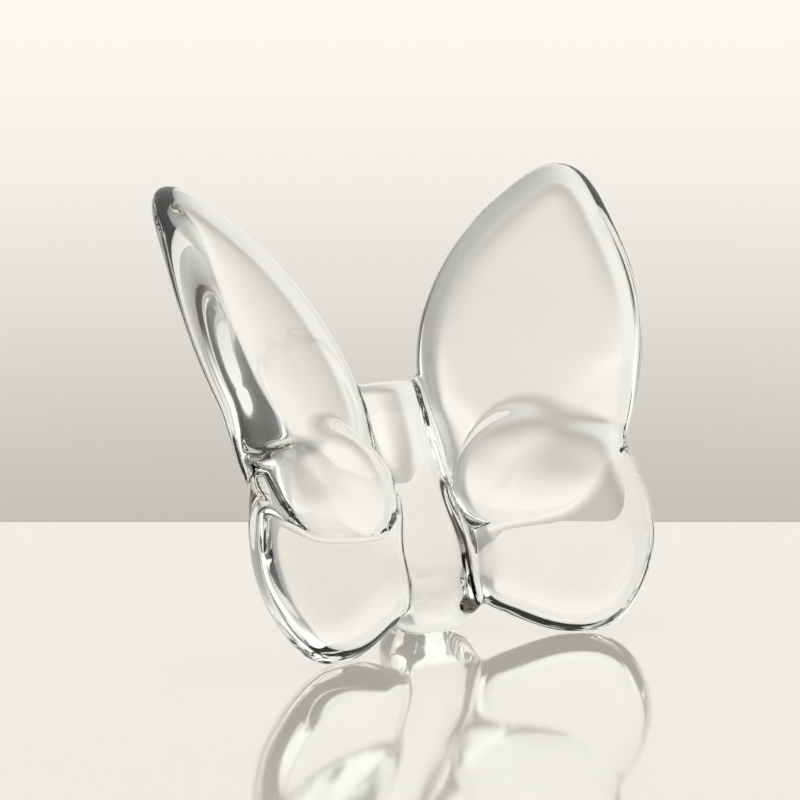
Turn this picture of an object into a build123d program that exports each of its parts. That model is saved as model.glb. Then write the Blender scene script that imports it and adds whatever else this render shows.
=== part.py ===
"""Butterfly ornament in clear lead crystal.

Five forms meet along visible seams: a leaning body bar that stands on a ground
base, a pair of leaf-shaped fore wings, and a pair of round hind wings that lie
against the front of the fore wings. Millimetres, +Z up, origin at the middle of
the ground base, -Y towards the side that the open wings face.
"""
from build123d import *
import os
from math import cos, radians, sin

os.makedirs("parts", exist_ok=True)

# Crystal stock: each wing is a plate with a rounded rim
wing_thickness = 6.0
rim_radius = wing_thickness / 2

# Body bar
body_height = 37.0              # before its head is cut
body_width = 12.6
body_depth = 13.2
body_set_back = 18.2            # how far the top section lies behind the base
head_cut = 1.7                  # how far the flat head's plane lies below the bar's top
head_height = body_height - head_cut
head_set_back = 9.8             # where the head's plane has that height
head_tilt = 24.0                # degrees that the head faces backwards
head_rounding = 0.8

# Fore wing: a bowed leaf on its own slanting plane
fore_sweep = 37.4               # degrees that it comes forward from straight out
fore_lean = 32.0                # degrees that it leans back
fore_set_back = -10.2           # where its plane meets the centre line
fore_width = 27.8
fore_length = 52.5
fore_inset = -7.3
fore_rise = 21.8
fore_bow_along = 1.95           # how far its tip and lobe fall behind its middle
fore_bow_across = 0.30          # how far its sides fall behind its middle
fore_twist = 0.90               # how far its outer tip stands before its inner tip
fore_bead = 0.20                # how proud its rounded rim stands of each face

# Hind wing: a flat disc on its own slanting plane
hind_sweep = 19.9               # degrees that it comes forward from straight out
hind_lean = 20.5                # degrees that it leans back
hind_set_back = -7.3            # where its plane meets the centre line
hind_width = 23.8
hind_length = 27.8
hind_inset = 5.0
hind_rise = 3.5                 # low enough for a small ground flat on its rim

# Body sections: height, half width, half depth and set-back of each one's middle
body_section_shares = (
    (0.00, 0.30, 0.32, -0.02),
    (0.04, 0.43, 0.45, -0.08),
    (0.16, 0.50, 0.50, -0.13),
    (0.35, 0.46, 0.47, 0.00),
    (0.54, 0.42, 0.43, 0.23),
    (0.75, 0.46, 0.44, 0.57),
    (1.00, 0.50, 0.46, 1.00),
)

# Fore wing rim line: a leaf, from its outer side round the tip and back
fore_rim_shares = (
    (1.000, 0.348),
    (0.981, 0.615),
    (0.773, 0.870),
    (0.552, 1.000),
    (0.379, 0.934),
    (0.118, 0.748),
    (0.000, 0.514),
    (0.067, 0.286),
    (0.243, 0.107),
    (0.380, 0.000),
    (0.559, 0.006),
    (0.765, 0.053),
    (0.899, 0.170),
)

# Hind wing rim line: a disc with a straighter side at the body
hind_rim_shares = (
    (1.000, 0.398),
    (0.950, 0.653),
    (0.808, 0.881),
    (0.486, 1.000),
    (0.157, 0.910),
    (0.000, 0.666),
    (0.101, 0.350),
    (0.130, 0.139),
    (0.254, 0.079),
    (0.502, 0.000),
    (0.779, 0.015),
    (0.926, 0.170),
)

# Where the bowed mid-surface is fixed, in half sizes from the leaf's middle
bow_grid_shares = (-1.4, -0.7, 0.0, 0.7, 1.4)
half_turn_share = 0.5           # the rim is carried round the leaf in two stretches


def wing_plane(sweep, lean, set_back):
    """Mid-plane of a right wing: X runs outwards, Y up the wing, Z to the front."""
    outwards = Vector(cos(radians(sweep)), -sin(radians(sweep)), 0)
    front = Vector(
        -sin(radians(sweep)) * cos(radians(lean)),
        -cos(radians(sweep)) * cos(radians(lean)),
        sin(radians(lean)),
    )
    return Plane(origin=(0, set_back, 0), x_dir=outwards, z_dir=front)


def rim_points(shares, inset, rise, width, length):
    """Points of a rim line from shares of the wing's width and length."""
    return [(inset + across * width, rise + along * length) for across, along in shares]


def flat_plate(plane, points):
    """A flat plate inside the rim line, with a half-round rim carried round it."""
    with BuildPart() as plate:
        with BuildSketch(plane.offset(-rim_radius)):
            with BuildLine():
                Spline(*points, periodic=True)
            make_face()
        extrude(amount=wing_thickness)

        with BuildLine(plane) as rim:
            Spline(*points, periodic=True)
        along = rim.line % 0
        section_plane = Plane(
            origin=rim.line @ 0, x_dir=along.cross(plane.z_dir), z_dir=along
        )
        with BuildSketch(section_plane):
            with BuildLine():
                ThreePointArc((0, -rim_radius), (rim_radius, 0), (0, rim_radius))
                Line((0, rim_radius), (0, -rim_radius))
            make_face()
        sweep(path=rim.line)
    return plate.part


def bow_point(across_share, along_share):
    """A point of the fore wing's bowed mid-surface, in half sizes from its middle."""
    return Vector(
        fore_inset + (1 + across_share) * fore_width / 2,
        fore_rise + (1 + along_share) * fore_length / 2,
        fore_twist * along_share * across_share
        - fore_bow_along * along_share**2
        - fore_bow_across * across_share**2,
    )


def bowed_plate(plane, shares):
    """A bowed plate inside the rim line, with a round bead carried along its rim."""
    middle = Face.make_surface_from_array_of_points(
        [[bow_point(across, along) for along in bow_grid_shares] for across in bow_grid_shares]
    )
    rim_line = [bow_point(2 * across - 1, 2 * along - 1) for across, along in shares]
    with BuildPart() as plate:
        thicken(middle, amount=rim_radius - fore_bead, both=True)
        with BuildSketch(Plane.XY.offset(-fore_width)):
            with BuildLine():
                Spline(*[(point.X, point.Y) for point in rim_line], periodic=True)
            make_face()
        extrude(amount=2 * fore_width, mode=Mode.INTERSECT)

        with BuildLine() as rim:
            Spline(*rim_line, periodic=True)
        for start_share in (0, half_turn_share):
            stretch = rim.edge().trim(start_share, start_share + half_turn_share)
            along = stretch % 0
            with BuildSketch(Plane(origin=stretch @ 0, z_dir=along)):
                Circle(rim_radius)
            sweep(path=stretch)
    return plane.location * plate.part


fore_plane = wing_plane(fore_sweep, fore_lean, fore_set_back)
fore_plate = bowed_plate(fore_plane, fore_rim_shares)

hind_plane = wing_plane(hind_sweep, hind_lean, hind_set_back)
hind_points = rim_points(hind_rim_shares, hind_inset, hind_rise, hind_width, hind_length)
hind_plate = flat_plate(hind_plane, hind_points)

# Body: a smooth bar through its sections, cut flat at the head, on its ground base
head_plane = Plane(
    origin=(0, head_set_back, head_height),
    x_dir=(1, 0, 0),
    z_dir=(0, sin(radians(head_tilt)), cos(radians(head_tilt))),
)
with BuildPart() as body:
    for height_share, wide_share, deep_share, back_share in body_section_shares:
        with BuildSketch(Plane.XY.offset(height_share * body_height)):
            with Locations((0, back_share * body_set_back)):
                Ellipse(wide_share * body_width, deep_share * body_depth)
    loft()
    split(bisect_by=head_plane, keep=Keep.BOTTOM)
    head_face = body.faces().sort_by(Axis(head_plane.origin, head_plane.z_dir))[-1]
    fillet(head_face.edges(), radius=head_rounding)
body.part.label = "body"
export_step(body.part, "parts/body.step")

# Hind wings: whole in front, seated on the body, with a small flat where they stand
with BuildPart() as right_hind_wing:
    add(hind_plate)
    add(body.part, mode=Mode.SUBTRACT)
    split(bisect_by=Plane.XY, keep=Keep.TOP)
right_hind_wing.part.label = "right_hind_wing"
export_step(right_hind_wing.part, "parts/right_hind_wing.step")

with BuildPart() as left_hind_wing:
    mirror(right_hind_wing.part, about=Plane.YZ)
left_hind_wing.part.label = "left_hind_wing"
export_step(left_hind_wing.part, "parts/left_hind_wing.step")

# Fore wings: seated on the body and behind the hind wings
with BuildPart() as right_fore_wing:
    add(fore_plate)
    add(body.part, mode=Mode.SUBTRACT)
    add(hind_plate, mode=Mode.SUBTRACT)
right_fore_wing.part.label = "right_fore_wing"
export_step(right_fore_wing.part, "parts/right_fore_wing.step")

with BuildPart() as left_fore_wing:
    mirror(right_fore_wing.part, about=Plane.YZ)
left_fore_wing.part.label = "left_fore_wing"
export_step(left_fore_wing.part, "parts/left_fore_wing.step")
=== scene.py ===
"""A clear crystal butterfly standing on a pale glossy table.

The crystal is one continuous body of glass that five named pieces share: the
body bar, two fore wings and two hind wings. Each form is a formula in space,
below zero inside. The forms are blended, and the blended form is meshed and then
parted along the seams, so light crosses from piece to piece without a bend.
Lengths in the formulas are millimetres, and the meshes are in metres.
"""
import logging
import math
from dataclasses import dataclass, field
from enum import IntEnum

import bpy
import numpy as np
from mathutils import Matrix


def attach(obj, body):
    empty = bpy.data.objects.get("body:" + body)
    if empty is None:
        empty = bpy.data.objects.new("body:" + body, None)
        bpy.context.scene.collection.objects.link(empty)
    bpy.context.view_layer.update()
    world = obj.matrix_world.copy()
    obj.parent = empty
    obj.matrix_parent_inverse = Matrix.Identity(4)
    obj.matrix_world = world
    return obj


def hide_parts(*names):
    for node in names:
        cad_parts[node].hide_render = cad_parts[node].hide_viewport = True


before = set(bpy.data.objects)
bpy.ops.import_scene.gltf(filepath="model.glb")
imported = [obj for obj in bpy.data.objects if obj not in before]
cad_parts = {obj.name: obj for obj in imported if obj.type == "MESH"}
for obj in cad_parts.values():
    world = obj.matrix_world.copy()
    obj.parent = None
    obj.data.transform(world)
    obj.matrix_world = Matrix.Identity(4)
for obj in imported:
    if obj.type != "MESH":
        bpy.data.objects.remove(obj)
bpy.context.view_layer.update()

log = logging.getLogger("butterfly")
MM = 0.001
PHOTO_HEADING = 25.81  # degrees from +Y towards +X that the camera looks
MIX_SHARE, MIX_A, MIX_B, MIX_RESULT = 0, 6, 7, 2  # a colour Mix node's sockets

Colour = tuple[float, float, float]


class Piece(IntEnum):
    """Labels of the five pieces, as the parting of the crystal uses them."""

    OUTSIDE = 0
    BODY = 1
    RIGHT_HIND = 2
    LEFT_HIND = 3
    RIGHT_FORE = 4
    LEFT_FORE = 5


MIRRORED = np.array([0, 1, 3, 2, 5, 4], np.int8)
NODES = {
    Piece.BODY: "body",
    Piece.RIGHT_HIND: "right_hind_wing",
    Piece.LEFT_HIND: "left_hind_wing",
    Piece.RIGHT_FORE: "right_fore_wing",
    Piece.LEFT_FORE: "left_fore_wing",
}


def smooth_step(value: np.ndarray, low: float, high: float) -> np.ndarray:
    """A smooth ramp from 0 at low to 1 at high.

    Args:
        value: Where the ramp is read.
        low: Value at the ramp's foot.
        high: Value at the ramp's top.

    Returns:
        t * t * (3 - 2 t), where t is the clipped share of the way.
    """
    t = np.clip((value - low) / (high - low), 0.0, 1.0)
    return t * t * (3.0 - 2.0 * t)


def soft_plus(value: np.ndarray, width: float) -> np.ndarray:
    """Half of (value + the root of value squared plus width squared)."""
    return 0.5 * (value + np.sqrt(value * value + width * width))


def blend_min(a: np.ndarray, b: np.ndarray, width: float | np.ndarray) -> np.ndarray:
    """Lower of two fields with a fillet where they cross.

    Args:
        a: First field.
        b: Second field.
        width: Band of difference in which the two are blended.

    Returns:
        min(a, b) less h * h * width / 4, where h is 1 where a equals b and falls
        to 0 where they differ by width.
    """
    h = np.maximum(width - np.abs(a - b), 0.0) / width
    return np.minimum(a, b) - h * h * width * 0.25


def blend_max(a: np.ndarray, b: np.ndarray, width: float) -> np.ndarray:
    """Higher of two fields with a rounding where they cross."""
    return -blend_min(-a, -b, width)


@dataclass(frozen=True)
class RimLine:
    """A closed smooth line through shares of a wing's width and length.

    It runs against the clock, so the wing lies to the left of its direction.
    """

    shares: tuple[tuple[float, float], ...]
    inset: float
    rise: float
    width: float
    length: float

    def knots(self) -> np.ndarray:
        """The points that the line runs through, in the wing's plane."""
        shares = np.array(self.shares)
        return np.array([self.inset, self.rise]) + shares * [self.width, self.length]

    def trace(self, count: int) -> tuple[np.ndarray, np.ndarray]:
        """Points evenly spread along the line's own parameter, with directions.

        The line is a periodic cubic in each span between knots. Its second
        derivatives m solve the cyclic system that keeps the slope continuous,
        with spans h as long as their chords.

        Args:
            count: How many points.

        Returns:
            Points and unit directions, both count by 2.
        """
        knots = self.knots()
        ahead = np.roll(knots, -1, 0) - knots
        h = np.hypot(ahead[:, 0], ahead[:, 1])
        before = np.roll(h, 1)
        n = len(h)
        at = np.arange(n)
        system = np.zeros((n, n))
        system[at, at] = 2 * (before + h)
        system[at, (at - 1) % n] += before
        system[at, (at + 1) % n] += h
        slope = ahead / h[:, None]
        m = np.linalg.solve(system, 6 * (slope - np.roll(slope, 1, 0)))
        start = np.concatenate([[0.0], np.cumsum(h)])
        t = np.linspace(0.0, start[-1], count, endpoint=False)
        i = np.searchsorted(start, t, side="right") - 1
        j = (i + 1) % n
        span = h[i][:, None]
        a = (start[i + 1] - t)[:, None]
        b = (t - start[i])[:, None]
        p, q = knots[i], knots[j]
        points = (m[i] * a**3 + m[j] * b**3) / (6 * span)
        points += (p / span - m[i] * span / 6) * a + (q / span - m[j] * span / 6) * b
        way = (m[j] * b**2 - m[i] * a**2) / (2 * span)
        way += (q - p) / span - (m[j] - m[i]) * span / 6
        return points, way / np.linalg.norm(way, axis=1)[:, None]


class RimTable:
    """Signed distance to a rim line, tabled once and read smoothly."""

    TRACE = 1600     # points along the line
    BLOCK = 8000     # grid points worked out together
    REACH = 0.2      # how far along the line its tangent stands for it

    def __init__(self, rim: RimLine, margin: float, step: float) -> None:
        """Tables the distance on a grid.

        Each grid point takes its nearest traced point. The distance is measured
        square to the tangent there where the point lies beside it, and else to
        the traced point. Its sign tells the tangent's two sides apart.

        Args:
            rim: The rim line.
            margin: How far the grid reaches past the line.
            step: Grid spacing.
        """
        points, way = rim.trace(self.TRACE)
        self.low = points.min(0) - margin
        size = points.max(0) + margin - self.low
        self.step = step
        nu, nv = (np.ceil(size / step).astype(int) + 1).tolist()
        u = self.low[0] + step * np.arange(nu)
        v = self.low[1] + step * np.arange(nv)
        grid = np.stack(np.meshgrid(u, v, indexing="ij"), -1).reshape(-1, 2)
        nearest = np.empty(len(grid), int)
        square = (points**2).sum(1)
        blocks = max(1, len(grid) // self.BLOCK)
        for block in np.array_split(np.arange(len(grid)), blocks):
            nearest[block] = np.argmin(square - 2 * grid[block] @ points.T, axis=1)
        gap = grid - points[nearest]
        along = way[nearest]
        beside = np.abs((gap * along).sum(1)) < self.REACH
        away = gap[:, 0] * along[:, 1] - gap[:, 1] * along[:, 0]
        far = np.copysign(np.hypot(gap[:, 0], gap[:, 1]), away)
        self.table = np.where(beside, away, far).reshape(nu, nv)

    def read(self, u: np.ndarray, v: np.ndarray) -> np.ndarray:
        """Distance at points, by the four-point cubic through the table each way.

        Args:
            u: Places across.
            v: Places along.

        Returns:
            Signed distance, below zero inside the rim line.
        """
        nu, nv = self.table.shape
        x = (u - self.low[0]) / self.step
        y = (v - self.low[1]) / self.step
        cx = np.clip(x, 1.0, nu - 2.001)
        cy = np.clip(y, 1.0, nv - 2.001)
        i, j = cx.astype(int), cy.astype(int)
        weights_x = self._weights(cx - i)
        weights_y = self._weights(cy - j)
        flat = self.table.reshape(-1)
        total = np.zeros_like(cx)
        for a in range(4):
            row = (i + a - 1) * nv + j - 1
            part = sum(flat[row + b] * weights_y[b] for b in range(4))
            total += part * weights_x[a]
        return total + np.hypot(x - cx, y - cy) * self.step

    @staticmethod
    def _weights(t: np.ndarray) -> tuple[np.ndarray, ...]:
        """Weights of four samples for a cubic with shared slopes.

        Args:
            t: Share of the way from the second sample to the third.

        Returns:
            The four weights.
        """
        t2, t3 = t * t, t * t * t
        return (
            -0.5 * t + t2 - 0.5 * t3,
            1.0 - 2.5 * t2 + 1.5 * t3,
            0.5 * t + 2.0 * t2 - 1.5 * t3,
            -0.5 * t2 + 0.5 * t3,
        )


@dataclass
class Wing:
    """A plate with a round rim in its own slanting plane, on the right side."""

    rim: RimLine
    sweep: float
    lean: float
    set_back: float
    rim_radius: float = 3.0
    rim_softness: float = 0.9
    rim_start: float = 3.2
    crown: float = 0.35
    crown_edge: float = 0.3
    crown_reach: tuple[float, float] = (13.0, 22.0)
    table_margin: float = 7.0
    table_step: float = 0.2
    table: RimTable = field(init=False, repr=False)

    def __post_init__(self) -> None:
        """Tables the rim's distance and works out the wing's directions."""
        s, l = math.radians(self.sweep), math.radians(self.lean)
        self.across = np.array([math.cos(s), -math.sin(s), 0.0])
        self.front = np.array(
            [-math.sin(s) * math.cos(l), -math.cos(s) * math.cos(l), math.sin(l)]
        )
        self.up = np.cross(self.front, self.across)
        self.origin = np.array([0.0, self.set_back, 0.0])
        self.table = RimTable(self.rim, self.table_margin, self.table_step)
        knots = self.rim.knots()
        self.middle = (knots.min(0) + knots.max(0)) / 2

    def bend(self, u: np.ndarray, v: np.ndarray) -> np.ndarray:
        """How far the mid-surface lies in front of the flat plane: nowhere."""
        return np.zeros_like(u)

    def places(self, p: np.ndarray) -> tuple[np.ndarray, np.ndarray, np.ndarray]:
        """Places of points across, up and in front of the wing's plane."""
        d = p - self.origin
        return d @ self.across, d @ self.up, d @ self.front

    def rim_shape(self, v: np.ndarray) -> tuple[float | np.ndarray, float | np.ndarray]:
        """How far inside the rim line the rounding starts, and where it ends past it."""
        return self.rim_start, self.rim_radius

    def field(self, p: np.ndarray) -> np.ndarray:
        """The wing's form.

        The root of (scaled and softened distance past the rounding's start
        squared plus distance from the mid-surface squared), less the rim's radius
        and a low crown. The scale makes the rounding an ellipse. The crown is
        its height times the softened part above zero of 1 less the squares of
        the places across and along, in reaches from the wing's middle.

        Args:
            p: Points with x at or above zero, n by 3.

        Returns:
            The field, below zero in the wing.
        """
        u, v, w = self.places(p)
        start, end = self.rim_shape(v)
        past = (self.table.read(u, v) + start) * (self.rim_radius / (start + end))
        e = self.rim_softness
        past = soft_plus(past + e * e / (4.0 * self.rim_radius), e)
        z = w - self.bend(u, v)
        q = ((u - self.middle[0]) / self.crown_reach[0]) ** 2
        q = q + ((v - self.middle[1]) / self.crown_reach[1]) ** 2
        crown = self.crown * soft_plus(1.0 - q, self.crown_edge)
        return np.hypot(past, z) - self.rim_radius - crown


@dataclass
class ForeWing(Wing):
    """A bowed leaf whose lower lobe lies behind the hind wing."""

    ahead: Wing | None = None
    bow_along: float = 1.83
    bow_across: float = 0.30
    twist: float = 0.90
    clearance: tuple[float, float] = (1.5, 0.7)
    clearance_over: tuple[float, float] = (26.0, 38.0)
    clearance_softness: float = 0.8
    lobe: tuple[float, float] = (33.0, 45.0)
    taper: tuple[float, float] = (7.0, 3.7)
    taper_over: tuple[float, float] = (29.0, 37.0)
    bow_limits: tuple[float, float] = (1.4, 1.3)

    def __post_init__(self) -> None:
        """Works out the slope of the hind wing's plane across this one."""
        super().__post_init__()
        hind = self.ahead
        tilt = self.front @ hind.front
        self.lead = (self.origin - hind.origin) @ hind.front / tilt
        self.lead_u = self.across @ hind.front / tilt
        self.lead_v = self.up @ hind.front / tilt

    def bend(self, u: np.ndarray, v: np.ndarray) -> np.ndarray:
        """The leaf's bow, with its lobe kept behind the hind wing.

        With a and b the places across and along in half sizes from the middle,
        the bow is twist times a times b, less bow_along times b squared, less
        bow_across times a squared. Where that would lie in front of the hind
        wing's middle, the lobe goes back by as much, on a smooth ramp.

        Args:
            u: Places across.
            v: Places up the wing.

        Returns:
            Offset to the front of the flat plane.
        """
        rim = self.rim
        far_u, far_v = self.bow_limits
        a = np.clip((u - rim.inset) / rim.width * 2.0 - 1.0, -far_u, far_u)
        b = np.clip((v - rim.rise) / rim.length * 2.0 - 1.0, -far_v, far_v)
        bow = self.twist * a * b - self.bow_along * b * b - self.bow_across * a * a
        low, high = self.clearance
        behind = low + (high - low) * smooth_step(v, *self.clearance_over)
        lead = bow + self.lead + self.lead_u * u + self.lead_v * v + behind
        over = soft_plus(lead, self.clearance_softness)
        return bow - over * (1.0 - smooth_step(v, *self.lobe))

    def rim_shape(self, v: np.ndarray) -> tuple[float | np.ndarray, float | np.ndarray]:
        """A long taper at the lobe, where the wing runs out into the hind wing.

        Args:
            v: Places up the wing.

        Returns:
            Where the rounding starts inside the rim line and ends past it.
        """
        lobe = 1.0 - smooth_step(v, *self.taper_over)
        start = self.rim_start + (self.taper[0] - self.rim_start) * lobe
        return start, self.rim_radius + (self.taper[1] - self.rim_radius) * lobe


class HeightCurve:
    """Smooth columns of values over height."""

    def __init__(self, at: np.ndarray, values: np.ndarray) -> None:
        """Solves for second derivatives m that keep each slope continuous.

        Args:
            at: Heights of the knots, rising.
            values: A row of values for each knot.
        """
        self.at, self.values = at, values
        h = np.diff(at)
        slope = np.diff(values, axis=0) / h[:, None]
        n = len(at)
        k = np.arange(1, n - 1)
        system = np.eye(n)
        system[k, k - 1] = h[:-1]
        system[k, k] = 2 * (h[:-1] + h[1:])
        system[k, k + 1] = h[1:]
        pull = np.zeros_like(values)
        pull[1:-1] = 6 * np.diff(slope, axis=0)
        self.h, self.m = h, np.linalg.solve(system, pull)

    def read(self, z: np.ndarray) -> np.ndarray:
        """Values at each height, by the cubic of the span that holds it.

        Args:
            z: Heights.

        Returns:
            A row of values for each height.
        """
        i = np.clip(np.searchsorted(self.at, z, side="right") - 1, 0, len(self.h) - 1)
        h = self.h[i][:, None]
        a = self.at[i + 1][:, None] - z[:, None]
        b = z[:, None] - self.at[i][:, None]
        m, n = self.m[i], self.m[i + 1]
        part = (m * a**3 + n * b**3) / (6 * h)
        part += (self.values[i] / h - m * h / 6) * a
        return part + (self.values[i + 1] / h - n * h / 6) * b


@dataclass
class BodyBar:
    """A leaning bar with oval sections, cut flat at its head and on its base."""

    height: float = 37.0
    width: float = 12.6
    depth: float = 13.2
    set_back: float = 18.2
    head: tuple[float, float] = (9.8, 35.3)
    head_tilt: float = 24.0
    head_rounding: float = 1.0
    square: tuple[float, float] = (3.0, 2.2)
    square_over: tuple[float, float] = (12.0, 22.0)
    distance_share: float = 0.85
    reach: tuple[float, float] = (-0.5, 1.12)
    sections: tuple[tuple[float, float, float, float], ...] = (
        (0.00, 0.30, 0.32, -0.02),
        (0.04, 0.43, 0.45, -0.08),
        (0.16, 0.50, 0.50, -0.13),
        (0.35, 0.46, 0.47, 0.00),
        (0.54, 0.42, 0.43, 0.23),
        (0.75, 0.46, 0.44, 0.57),
        (1.00, 0.50, 0.46, 1.00),
    )

    def __post_init__(self) -> None:
        """Fits a smooth curve through each column of the sections."""
        rows = np.array(self.sections)
        values = rows[:, 1:] * [self.width, self.depth, self.set_back]
        self.curve = HeightCurve(rows[:, 0] * self.height, values)

    def section(self, z: np.ndarray) -> tuple[np.ndarray, np.ndarray, np.ndarray]:
        """Half width, half depth and set-back of the section at each height."""
        a, b, back = self.curve.read(np.clip(z, self.reach[0], self.reach[1] * self.height)).T
        return np.maximum(a, 1.0), np.maximum(b, 1.0), back

    def field(self, p: np.ndarray) -> np.ndarray:
        """The bar's form.

        For a section with half sizes a and b, q is the n-th root of |x / a| to the
        n plus |y / b| to the n, so the section is squarer where n is above 2. The
        field is q - 1 times the mean half size and distance_share, cut by the
        head's plane with a small rounding.

        Args:
            p: Points, n by 3.

        Returns:
            The field, below zero in the bar.
        """
        x, y, z = p[:, 0], p[:, 1], p[:, 2]
        a, b, back = self.section(z)
        low, high = self.square
        n = low + (high - low) * smooth_step(z, *self.square_over)
        q = (np.abs(x / a) ** n + np.abs((y - back) / b) ** n) ** (1.0 / n)
        bar = (q - 1.0) * 0.5 * (a + b) * self.distance_share
        tilt = math.radians(self.head_tilt)
        over = (y - self.head[0]) * math.sin(tilt) + (z - self.head[1]) * math.cos(tilt)
        return blend_max(bar, over, 2.0 * self.head_rounding)


FORE_RIM = RimLine(
    shares=(
        (1.000, 0.348), (0.981, 0.615), (0.773, 0.870), (0.552, 1.000),
        (0.379, 0.934), (0.118, 0.748), (0.000, 0.514), (0.067, 0.286),
        (0.243, 0.107), (0.380, 0.000), (0.559, 0.006), (0.765, 0.053),
        (0.899, 0.170),
    ),
    inset=-7.3, rise=21.8, width=27.8, length=52.5,
)
HIND_RIM = RimLine(
    shares=(
        (1.000, 0.398), (0.950, 0.653), (0.808, 0.881), (0.486, 1.000),
        (0.157, 0.910), (0.000, 0.666), (0.101, 0.350), (0.130, 0.139),
        (0.254, 0.079), (0.502, 0.000), (0.779, 0.015), (0.926, 0.170),
    ),
    inset=5.0, rise=3.5, width=23.8, length=27.8,
)


@dataclass
class Crystal:
    """The whole butterfly: five forms blended into one and parted at seams."""

    step: float = 0.5
    wing_fillet: float = 0.9
    wing_crease: float = 0.25
    crease_over: tuple[float, float] = (-2.0, 1.0)
    body_fillet: float = 1.6
    base_rounding: float = 0.3
    slope_step: float = 0.02
    least_slope: float = 0.05
    longest_move: float = 0.4
    body: BodyBar = field(default_factory=BodyBar)

    def __post_init__(self) -> None:
        """Makes the wings, the fore wing behind the hind one."""
        self.hind = Wing(
            HIND_RIM, sweep=19.9, lean=20.5, set_back=-7.3, rim_softness=0.4,
            crown=0.05, crown_reach=(13.0, 15.0),
        )
        self.fore = ForeWing(
            FORE_RIM, sweep=37.4, lean=32.0, set_back=-10.2,
            crown=0.55, crown_reach=(15.0, 27.0), ahead=self.hind,
        )

    @staticmethod
    def right_half(p: np.ndarray) -> np.ndarray:
        """The points with those on the left mirrored to the right."""
        return np.stack([np.abs(p[:, 0]), p[:, 1], p[:, 2]], axis=1)

    def forms(self, p: np.ndarray) -> tuple[np.ndarray, np.ndarray, np.ndarray]:
        """Fields of the bar, the hind wings and the fore wings, in mirror pairs."""
        m = self.right_half(p)
        return self.body.field(m), self.hind.field(m), self.fore.field(m)

    def blended(self, p: np.ndarray, bar: np.ndarray, hind: np.ndarray,
                fore: np.ndarray) -> np.ndarray:
        """The forms' fields blended: wings with wings, then both with the bar.

        Args:
            p: The points, n by 3.
            bar: The bar's field.
            hind: The hind wings' field.
            fore: The fore wings' field.

        Returns:
            One field, cut by the table's plane. The wings' fillet is full in front
            and small at the back, where the fore wing runs out into the hind wing
            in a crease.
        """
        ahead = self.right_half(p - self.hind.origin) @ self.hind.front
        side = smooth_step(ahead, *self.crease_over)
        width = self.wing_crease + (self.wing_fillet - self.wing_crease) * side
        wings = blend_min(hind, fore, width)
        form = blend_min(wings, bar, self.body_fillet)
        return blend_max(form, -p[:, 2], 2.0 * self.base_rounding)

    def whole(self, p: np.ndarray) -> np.ndarray:
        """The blended field at points."""
        return self.blended(p, *self.forms(p))

    def labels(self, p: np.ndarray) -> tuple[np.ndarray, np.ndarray]:
        """Which piece each point is in, with the blended field.

        The bar is whole, the hind wings stop at the bar, and the fore wings stop
        at both. Points in a fillet go to the nearest form.

        Args:
            p: Points, n by 3.

        Returns:
            Labels and the blended field.
        """
        bar, hind, fore = self.forms(p)
        form = self.blended(p, bar, hind, fore)
        near = np.argmin(np.stack([bar, hind, fore]), axis=0)
        kind = np.where(bar < 0, 0, np.where(hind < 0, 1, np.where(fore < 0, 2, near)))
        right = p[:, 0] >= 0
        label = np.select(
            [kind == 0, (kind == 1) & right, kind == 1, right],
            [Piece.BODY, Piece.RIGHT_HIND, Piece.LEFT_HIND, Piece.RIGHT_FORE],
            Piece.LEFT_FORE,
        )
        return np.where(form < 0, label, Piece.OUTSIDE).astype(np.int8), form

    def slope(self, p: np.ndarray) -> tuple[np.ndarray, np.ndarray]:
        """The blended field and its gradient, by differences each way.

        Args:
            p: Points, n by 3.

        Returns:
            The field, and the gradient, n by 3.
        """
        e = self.slope_step
        steps = np.eye(3) * e
        gradient = np.stack(
            [(self.whole(p + s) - self.whole(p - s)) / (2 * e) for s in steps], axis=1
        )
        return self.whole(p), gradient

    def settle(self, p: np.ndarray, rounds: int) -> np.ndarray:
        """Moves points onto the surface, each along the gradient by field / slope.

        Args:
            p: Points near the surface, n by 3.
            rounds: How many moves are made.

        Returns:
            The moved points.
        """
        longest = self.longest_move * self.step
        for _ in range(rounds):
            value, gradient = self.slope(p)
            square = np.maximum((gradient**2).sum(1), self.least_slope)
            move = gradient * (value / square)[:, None]
            length = np.linalg.norm(move, axis=1)
            move *= np.minimum(1.0, longest / np.maximum(length, 1e-9))[:, None]
            p = p - move
        return p


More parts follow.
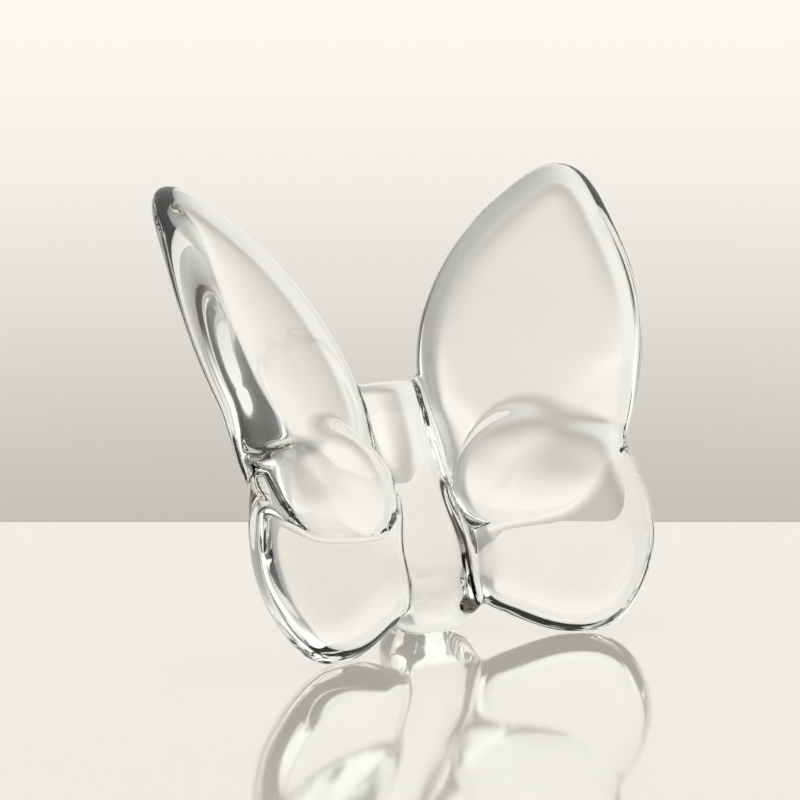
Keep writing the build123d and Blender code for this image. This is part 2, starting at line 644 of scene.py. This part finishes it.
@dataclass
class CrystalMesher:
    """Meshes the crystal on a grid and parts it into the five pieces."""

    crystal: Crystal
    low: tuple[float, float, float] = (-38.0, -19.0, -1.0)
    high: tuple[float, float, float] = (38.0, 24.0, 66.0)
    base_offset: float = 0.3     # in steps, so that no grid layer lies on the table
    seam_weight: float = 1e-3    # of a seam's crossing beside the outer surface's
    rounds: int = 3

    def grid(self) -> tuple[np.ndarray, np.ndarray, np.ndarray]:
        """Labels and field on the grid, worked out on the right and mirrored.

        Returns:
            Labels, the field, and the grid's origin.
        """
        h = self.crystal.step
        half = int(math.ceil(self.high[0] / h))
        x = (np.arange(half) + 0.5) * h
        y = np.arange(self.low[1], self.high[1], h)
        z = np.arange(self.low[2] + self.base_offset * h, self.high[2], h)
        labels = np.zeros((2 * half, len(y), len(z)), np.int8)
        values = np.zeros((2 * half, len(y), len(z)), np.float32)
        yy, zz = np.meshgrid(y, z, indexing="ij")
        for block in np.array_split(np.arange(half), max(1, half // 8)):
            p = np.empty((len(block), yy.size, 3))
            p[:, :, 0] = x[block][:, None]
            p[:, :, 1] = yy.reshape(-1)
            p[:, :, 2] = zz.reshape(-1)
            label, value = self.crystal.labels(p.reshape(-1, 3))
            shape = (len(block), len(y), len(z))
            labels[half + block] = label.reshape(shape)
            labels[half - 1 - block] = MIRRORED[label].reshape(shape)
            values[half + block] = value.reshape(shape)
            values[half - 1 - block] = value.reshape(shape)
        return labels, values, np.array([-x[-1], y[0], z[0]])

    def build(self) -> tuple[np.ndarray, np.ndarray, np.ndarray, np.ndarray]:
        """Places a point in each cell that a surface crosses and joins them.

        A quad stands across each grid edge whose ends have different labels, with
        the points of the four cells round that edge as its corners.

        Returns:
            Points, quads, the label behind each quad and the label before it.
        """
        labels, values, origin = self.grid()
        shape = np.array(labels.shape) - 1
        first = labels[:-1, :-1, :-1]
        mixed = np.zeros(shape, bool)
        for a, b, c in np.ndindex(2, 2, 2):
            mixed |= labels[a:a + shape[0], b:b + shape[1], c:c + shape[2]] != first
        cells = np.argwhere(mixed)
        number = np.full(shape, -1, np.int64)
        number[tuple(cells.T)] = np.arange(len(cells))
        points = origin + self.crystal.step * self._centres(labels, values, cells)
        quads, behind, before = [], [], []
        for axis in range(3):
            others = [(axis + 1) % 3, (axis + 2) % 3]
            a = np.moveaxis(labels, axis, 0)[:-1]
            b = np.moveaxis(labels, axis, 0)[1:]
            where = np.argwhere(np.moveaxis(a != b, 0, axis))
            ahead = where.copy()
            ahead[:, axis] += 1
            ring = []
            for p, q in ((-1, -1), (0, -1), (0, 0), (-1, 0)):
                cell = where.copy()
                cell[:, others[0]] += p
                cell[:, others[1]] += q
                ring.append(number[tuple(cell.T)])
            quads.append(np.stack(ring, 1))
            behind.append(labels[tuple(where.T)])
            before.append(labels[tuple(ahead.T)])
        return points, np.concatenate(quads), np.concatenate(behind), np.concatenate(before)

    def _centres(self, labels: np.ndarray, values: np.ndarray,
                 cells: np.ndarray) -> np.ndarray:
        """The mean place of the crossings on each cell's twelve edges, in cells.

        On the outer surface a crossing lies where the field is zero between the
        edge's ends, and on a seam at the edge's middle.

        Args:
            labels: The grid's labels.
            values: The grid's field.
            cells: The cells, n by 3.

        Returns:
            The places, n by 3.
        """
        centre = np.zeros((len(cells), 3))
        weight = np.zeros(len(cells))
        for axis, b, c in np.ndindex(3, 2, 2):
            ends = np.zeros((2, 3), int)
            others = [k for k in range(3) if k != axis]
            ends[:, others[0]] = b
            ends[:, others[1]] = c
            ends[1, axis] = 1
            one, two = cells + ends[0], cells + ends[1]
            la, lb = labels[tuple(one.T)], labels[tuple(two.T)]
            va, vb = values[tuple(one.T)], values[tuple(two.T)]
            skin = (la == 0) != (lb == 0)
            seam = (la != lb) & ~skin
            share = np.where(skin, va / np.where(skin, va - vb, 1.0), 0.5)
            part = np.where(skin, 1.0, np.where(seam, self.seam_weight, 0.0))
            centre += part[:, None] * (one + share[:, None] * (two - one))
            weight += part
        return centre / weight[:, None]

    def pieces(self) -> dict[Piece, tuple[np.ndarray, np.ndarray, np.ndarray, np.ndarray]]:
        """The five closed meshes.

        Returns:
            For each piece its points, quads, whether each quad is an inner seam,
            and the surface's normal at each point.
        """
        points, quads, behind, before = self.build()
        crystal = self.crystal
        skin = (behind == 0) | (before == 0)
        outer = np.zeros(len(points), bool)
        outer[quads[skin].reshape(-1)] = True
        settled = points.copy()
        settled[outer] = crystal.settle(points[outer], self.rounds)
        settled[outer] = self._even(settled, quads[skin], outer)[outer]
        settled[outer] = crystal.settle(settled[outer], self.rounds)
        settled[:, 2] = np.where(outer, np.maximum(settled[:, 2], 0.0), settled[:, 2])
        _, gradient = crystal.slope(settled[outer])
        normals = np.zeros_like(settled)
        normals[outer] = gradient / np.linalg.norm(gradient, axis=1)[:, None]
        result = {}
        for piece in NODES:
            own = behind == piece
            other = before == piece
            mine = np.concatenate([quads[own], quads[other][:, ::-1]])
            seam = np.concatenate([before[own] != 0, behind[other] != 0])
            used, faces = np.unique(mine, return_inverse=True)
            faces = faces.reshape(mine.shape)
            result[piece] = (settled[used], faces, seam, normals[used])
        return result

    @staticmethod
    def _even(points: np.ndarray, quads: np.ndarray, outer: np.ndarray) -> np.ndarray:
        """Moves each outer point half way to the mean of its neighbours.

        Args:
            points: All points, n by 3.
            quads: The outer surface's quads.
            outer: Whether each point is on the outer surface.

        Returns:
            The points, with the outer ones moved.
        """
        total = np.zeros_like(points)
        count = np.zeros(len(points))
        for a, b in ((0, 1), (1, 2), (2, 3), (3, 0)):
            for one, two in ((a, b), (b, a)):
                np.add.at(total, quads[:, one], points[quads[:, two]])
                np.add.at(count, quads[:, one], 1.0)
        mean = total / np.maximum(count, 1.0)[:, None]
        return np.where(outer[:, None], 0.5 * points + 0.5 * mean, points)


class NodeBench:
    """An emptied node tree that nodes are added to."""

    def __init__(self, owner: bpy.types.Material | bpy.types.World) -> None:
        """Turns the owner's nodes on and empties its tree."""
        owner.use_nodes = True
        self.nodes, self.links = owner.node_tree.nodes, owner.node_tree.links
        self.nodes.clear()

    def add(self, kind: str, inputs: dict[str | int, object] | None = None,
            **settings: object) -> bpy.types.Node:
        """Adds a node.

        Args:
            kind: The node's type.
            inputs: A plain value or another node's output for each socket.
            settings: The node's own settings, made before its inputs.

        Returns:
            The node.
        """
        node = self.nodes.new(kind)
        for name, value in settings.items():
            setattr(node, name, value)
        for key, value in (inputs or {}).items():
            if isinstance(value, bpy.types.NodeSocket):
                self.links.new(value, node.inputs[key])
            else:
                node.inputs[key].default_value = value
        return node

    def noise(self, place: bpy.types.NodeSocket, scale: float,
              detail: float) -> bpy.types.NodeSocket:
        """A noise on the given coordinates."""
        inputs = {"Vector": place, "Scale": scale, "Detail": detail}
        return self.add("ShaderNodeTexNoise", inputs).outputs["Fac"]

    def mix(self, share: bpy.types.NodeSocket, low: object,
            high: object) -> bpy.types.NodeSocket:
        """A colour between two, by a share."""
        inputs = {MIX_SHARE: share, MIX_A: low, MIX_B: high}
        return self.add("ShaderNodeMix", inputs, data_type="RGBA").outputs[MIX_RESULT]

    def toward(self, place: bpy.types.NodeSocket, way: Colour) -> bpy.types.NodeSocket:
        """How far a direction leans towards a given one: their dot product."""
        inputs = {0: place, 1: way}
        node = self.add("ShaderNodeVectorMath", inputs, operation="DOT_PRODUCT")
        return node.outputs["Value"]

    def ramp(self, source: bpy.types.NodeSocket, low: float,
             high: float) -> bpy.types.NodeSocket:
        """A smooth ramp of a value.

        Args:
            source: The value.
            low: Where the ramp is 0.
            high: Where the ramp is 1, above or below low.

        Returns:
            The ramp's output.
        """
        flip = low > high
        inputs = {
            "Value": source,
            "From Min": min(low, high),
            "From Max": max(low, high),
            "To Min": 1.0 if flip else 0.0,
            "To Max": 0.0 if flip else 1.0,
        }
        node = self.add("ShaderNodeMapRange", inputs, interpolation_type="SMOOTHSTEP")
        return node.outputs["Result"]


@dataclass(frozen=True)
class CrystalFinish:
    """Clear polished lead crystal with a breath of tint and hand polish."""

    name: str = "clear_crystal"
    tint: Colour = (0.99, 0.99, 0.965)
    deep_tint: Colour = (0.975, 0.975, 0.94)
    cloud_scale: float = 60.0
    ior: float = 1.54
    roughness: tuple[float, float] = (0.0, 0.035)
    polish_scale: float = 210.0
    polish_over: tuple[float, float] = (0.5, 0.9)
    ripple: float = 0.00006
    ripple_scale: float = 75.0
    shadow: Colour = (0.93, 0.935, 0.93)

    def material(self) -> bpy.types.Material:
        """The crystal's material, on Object coordinates.

        Returns:
            A transmitting shader that lamps shine through.
        """
        m = bpy.data.materials.new(self.name)
        bench = NodeBench(m)
        place = bench.add("ShaderNodeTexCoord").outputs["Object"]
        cloud = bench.noise(place, self.cloud_scale, 2.0)
        tint = bench.mix(cloud, (*self.tint, 1.0), (*self.deep_tint, 1.0))
        polish = bench.noise(place, self.polish_scale, 4.0)
        spread = bench.add("ShaderNodeMapRange", {
            "Value": polish,
            "From Min": self.polish_over[0],
            "From Max": self.polish_over[1],
            "To Min": self.roughness[0],
            "To Max": self.roughness[1],
        })
        wave = bench.noise(place, self.ripple_scale, 1.0)
        bump = bench.add("ShaderNodeBump", {
            "Strength": 1.0, "Distance": self.ripple, "Height": wave,
        })
        glass = bench.add("ShaderNodeBsdfPrincipled", {
            "IOR": self.ior,
            "Transmission Weight": 1.0,
            "Base Color": tint,
            "Roughness": spread.outputs["Result"],
            "Normal": bump.outputs["Normal"],
        })
        clear = bench.add("ShaderNodeBsdfTransparent", {"Color": (*self.shadow, 1.0)})
        path = bench.add("ShaderNodeLightPath")
        mix = bench.add("ShaderNodeMixShader", {
            "Fac": path.outputs["Is Shadow Ray"],
            1: glass.outputs["BSDF"],
            2: clear.outputs["BSDF"],
        })
        bench.add("ShaderNodeOutputMaterial", {"Surface": mix.outputs["Shader"]})
        return m


@dataclass(frozen=True)
class SeamFinish:
    """The fused joint inside the crystal, which light crosses unbent."""

    name: str = "fused_seam"

    def material(self) -> bpy.types.Material:
        """A fully clear material."""
        m = bpy.data.materials.new(self.name)
        bench = NodeBench(m)
        clear = bench.add("ShaderNodeBsdfTransparent")
        bench.add("ShaderNodeOutputMaterial", {"Surface": clear.outputs["BSDF"]})
        return m


@dataclass
class Butterfly:
    """The five crystal pieces as Blender objects on their CAD nodes' body."""

    crystal: Crystal = field(default_factory=Crystal)
    finish: CrystalFinish = field(default_factory=CrystalFinish)
    seam: SeamFinish = field(default_factory=SeamFinish)

    def build(self) -> list[bpy.types.Object]:
        """Meshes, dresses and mounts the pieces.

        Returns:
            The five objects.
        """
        glass, joint = self.finish.material(), self.seam.material()
        made = []
        for piece, parts in CrystalMesher(self.crystal).pieces().items():
            points, faces, seam, normals = parts
            node = NODES[piece]
            mesh = bpy.data.meshes.new(f"crystal_{node}")
            mesh.from_pydata(points * MM, [], faces)
            mesh.materials.append(glass)
            mesh.materials.append(joint)
            mesh.polygons.foreach_set("material_index", seam.astype(np.int32))
            mesh.polygons.foreach_set("use_smooth", np.ones(len(faces), bool))
            mesh.update()
            self._shade(mesh, faces, seam, normals)
            thing = bpy.data.objects.new(f"crystal_{node}", mesh)
            bpy.context.scene.collection.objects.link(thing)
            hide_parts(node)
            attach(thing, "root")
            log.info("%s: %d faces, %d on seams", thing.name, len(faces), int(seam.sum()))
            made.append(thing)
        return made

    @staticmethod
    def _shade(mesh: bpy.types.Mesh, faces: np.ndarray, seam: np.ndarray,
               normals: np.ndarray) -> None:
        """Gives outer faces the form's own normals, and seams their flat ones.

        Args:
            mesh: The piece's mesh.
            faces: Its quads.
            seam: Whether each quad is an inner seam.
            normals: The form's normal at each point.
        """
        flat = np.zeros(len(faces) * 3, np.float32)
        mesh.polygons.foreach_get("normal", flat)
        corner = np.repeat(flat.reshape(-1, 3), 4, axis=0)
        use = ~np.repeat(seam, 4)
        corner[use] = normals[faces.reshape(-1)][use]
        mesh.normals_split_custom_set(corner.tolist())


@dataclass(frozen=True)
class TableFinish:
    """Pale stone under a clear lacquer that mirrors what stands on it."""

    name: str = "pale_gloss_table"
    colour: Colour = (0.68, 0.665, 0.615)
    roughness: float = 0.07
    ior: float = 2.0
    lacquer_ior: float = 2.0

    def material(self) -> bpy.types.Material:
        """The table's material, with each value on the shader's own socket."""
        m = bpy.data.materials.new(self.name)
        bench = NodeBench(m)
        shader = bench.add("ShaderNodeBsdfPrincipled", {
            "Base Color": (*self.colour, 1.0),
            "Roughness": self.roughness,
            "IOR": self.ior,
            "Coat Weight": 1.0,
            "Coat Roughness": self.roughness,
            "Coat IOR": self.lacquer_ior,
        })
        bench.add("ShaderNodeOutputMaterial", {"Surface": shader.outputs["BSDF"]})
        return m


@dataclass
class Studio:
    """A pale glossy table with a near back edge, and a soft graded surround.

    Ranges that end in from are dot products of a direction with the way that
    each is measured along, or heights of a unit direction.
    """

    heading: float = PHOTO_HEADING
    edge: float = 0.067
    front_edge: float = -0.9
    half_width: float = 0.5
    thickness: float = 0.012
    edge_rounding: float = 0.0012
    standing_gap: float = 0.00002
    table: TableFinish = field(default_factory=TableFinish)
    lamp_power: float = 0.15
    lamp_size: float = 0.7
    lamp_place: tuple[float, float, float] = (0.05, 0.1, 0.8)
    backdrop_low: Colour = (0.50, 0.48, 0.43)
    backdrop_high: Colour = (0.96, 0.94, 0.88)
    backdrop_from: tuple[float, float] = (-0.27, -0.07)
    room: Colour = (0.075, 0.062, 0.045)
    room_from: tuple[float, float] = (0.35, -0.25)
    room_turn: float = -25.0
    room_top: tuple[float, float] = (0.30, 0.55)
    left: Colour = (0.89, 0.88, 0.85)
    right: Colour = (0.42, 0.412, 0.39)
    across_from: tuple[float, float] = (-0.45, 0.55)
    sides_from: tuple[float, float] = (0.965, 0.93)
    upper: Colour = (0.98, 0.97, 0.94)
    upper_from: tuple[float, float] = (0.0, 0.35)
    softbox: Colour = (1.3, 1.3, 1.28)
    softbox_from: tuple[float, float] = (0.45, 0.70)

    def build(self) -> None:
        """Sets the surround, the table and the lamp."""
        self._surround()
        self._table()
        self._lamp()

    @staticmethod
    def _ground_way(heading: float) -> Colour:
        """A level direction by its heading in degrees."""
        a = math.radians(heading)
        return math.sin(a), math.cos(a), 0.0

    def _surround(self) -> None:
        """A world graded by direction: backdrop ahead, softbox above, room behind."""
        world = bpy.data.worlds.new("soft_surround")
        bpy.context.scene.world = world
        bench = NodeBench(world)
        place = bench.add("ShaderNodeTexCoord").outputs["Generated"]
        height = bench.add("ShaderNodeSeparateXYZ", {"Vector": place}).outputs["Z"]
        ahead = bench.toward(place, self._ground_way(self.heading))
        rightward = bench.toward(place, self._ground_way(self.heading + 90.0))
        facing = bench.toward(place, self._ground_way(self.heading + self.room_turn))
        wall = bench.mix(
            bench.ramp(rightward, *self.across_from), (*self.left, 1.0), (*self.right, 1.0)
        )
        top = bench.mix(bench.ramp(height, *self.upper_from), wall, (*self.upper, 1.0))
        backdrop = bench.mix(
            bench.ramp(height, *self.backdrop_from),
            (*self.backdrop_low, 1.0), (*self.backdrop_high, 1.0)
        )
        walls = bench.mix(bench.ramp(ahead, *self.sides_from), backdrop, top)
        dark = bench.add("ShaderNodeMath", {
            0: bench.ramp(facing, *self.room_from),
            1: bench.ramp(height, *reversed(self.room_top)),
        }, operation="MULTIPLY")
        room = bench.mix(dark.outputs["Value"], walls, (*self.room, 1.0))
        lit = bench.mix(bench.ramp(height, *self.softbox_from), room, (*self.softbox, 1.0))
        back = bench.add("ShaderNodeBackground", {"Color": lit})
        bench.add("ShaderNodeOutputWorld", {"Surface": back.outputs["Background"]})

    def _table(self) -> None:
        """A slab whose back edge lies square to the camera's heading."""
        across = np.array(self._ground_way(self.heading + 90.0))
        ahead = np.array(self._ground_way(self.heading))
        w, front, back = self.half_width, self.front_edge, self.edge
        corners = []
        for z in (0.0, -self.thickness):
            for a, b in ((-w, front), (w, front), (w, back), (-w, back)):
                corners.append(across * a + ahead * b + [0.0, 0.0, z - self.standing_gap])
        faces = [
            (0, 1, 2, 3), (7, 6, 5, 4), (0, 4, 5, 1),
            (1, 5, 6, 2), (2, 6, 7, 3), (3, 7, 4, 0),
        ]
        mesh = bpy.data.meshes.new("table")
        mesh.from_pydata([tuple(c) for c in corners], [], faces)
        mesh.update()
        table = bpy.data.objects.new("table", mesh)
        bpy.context.scene.collection.objects.link(table)
        bevel = table.modifiers.new("soft_edge", "BEVEL")
        bevel.width = self.edge_rounding
        bevel.segments = 3
        table.data.materials.append(self.table.material())
        log.info("table and surround set")

    def _lamp(self) -> None:
        """One wide soft lamp overhead."""
        light = bpy.data.lights.new("overhead", "AREA")
        light.shape = "DISK"
        light.size = self.lamp_size
        light.energy = self.lamp_power
        lamp = bpy.data.objects.new("overhead", light)
        lamp.location = self.lamp_place
        bpy.context.scene.collection.objects.link(lamp)


@dataclass
class PhotoCamera:
    """The camera at the photograph's place."""

    place: tuple[float, float, float] = (-0.20068, -0.40793, 0.12278)
    heading: float = PHOTO_HEADING
    pitch: float = 11.09
    lens: float = 143.89
    sensor: float = 36.0
    clip: tuple[float, float] = (0.01, 50.0)

    def build(self) -> None:
        """Makes the camera and gives it to the scene."""
        data = bpy.data.cameras.new("photo_camera")
        data.lens = self.lens
        data.sensor_width = self.sensor
        data.clip_start, data.clip_end = self.clip
        camera = bpy.data.objects.new("photo_camera", data)
        camera.location = self.place
        camera.rotation_euler = (
            math.radians(90.0 - self.pitch), 0.0, -math.radians(self.heading)
        )
        bpy.context.scene.collection.objects.link(camera)
        bpy.context.scene.camera = camera
        log.info("camera set")


def main() -> None:
    """Builds the butterfly, its studio and the camera, and notes the sizes."""
    logging.basicConfig(level=logging.INFO, format="%(name)s: %(message)s")
    Butterfly().build()
    Studio().build()
    PhotoCamera().build()
    bpy.context.scene.view_settings.view_transform = "Standard"


if __name__ == "__main__":
    main()
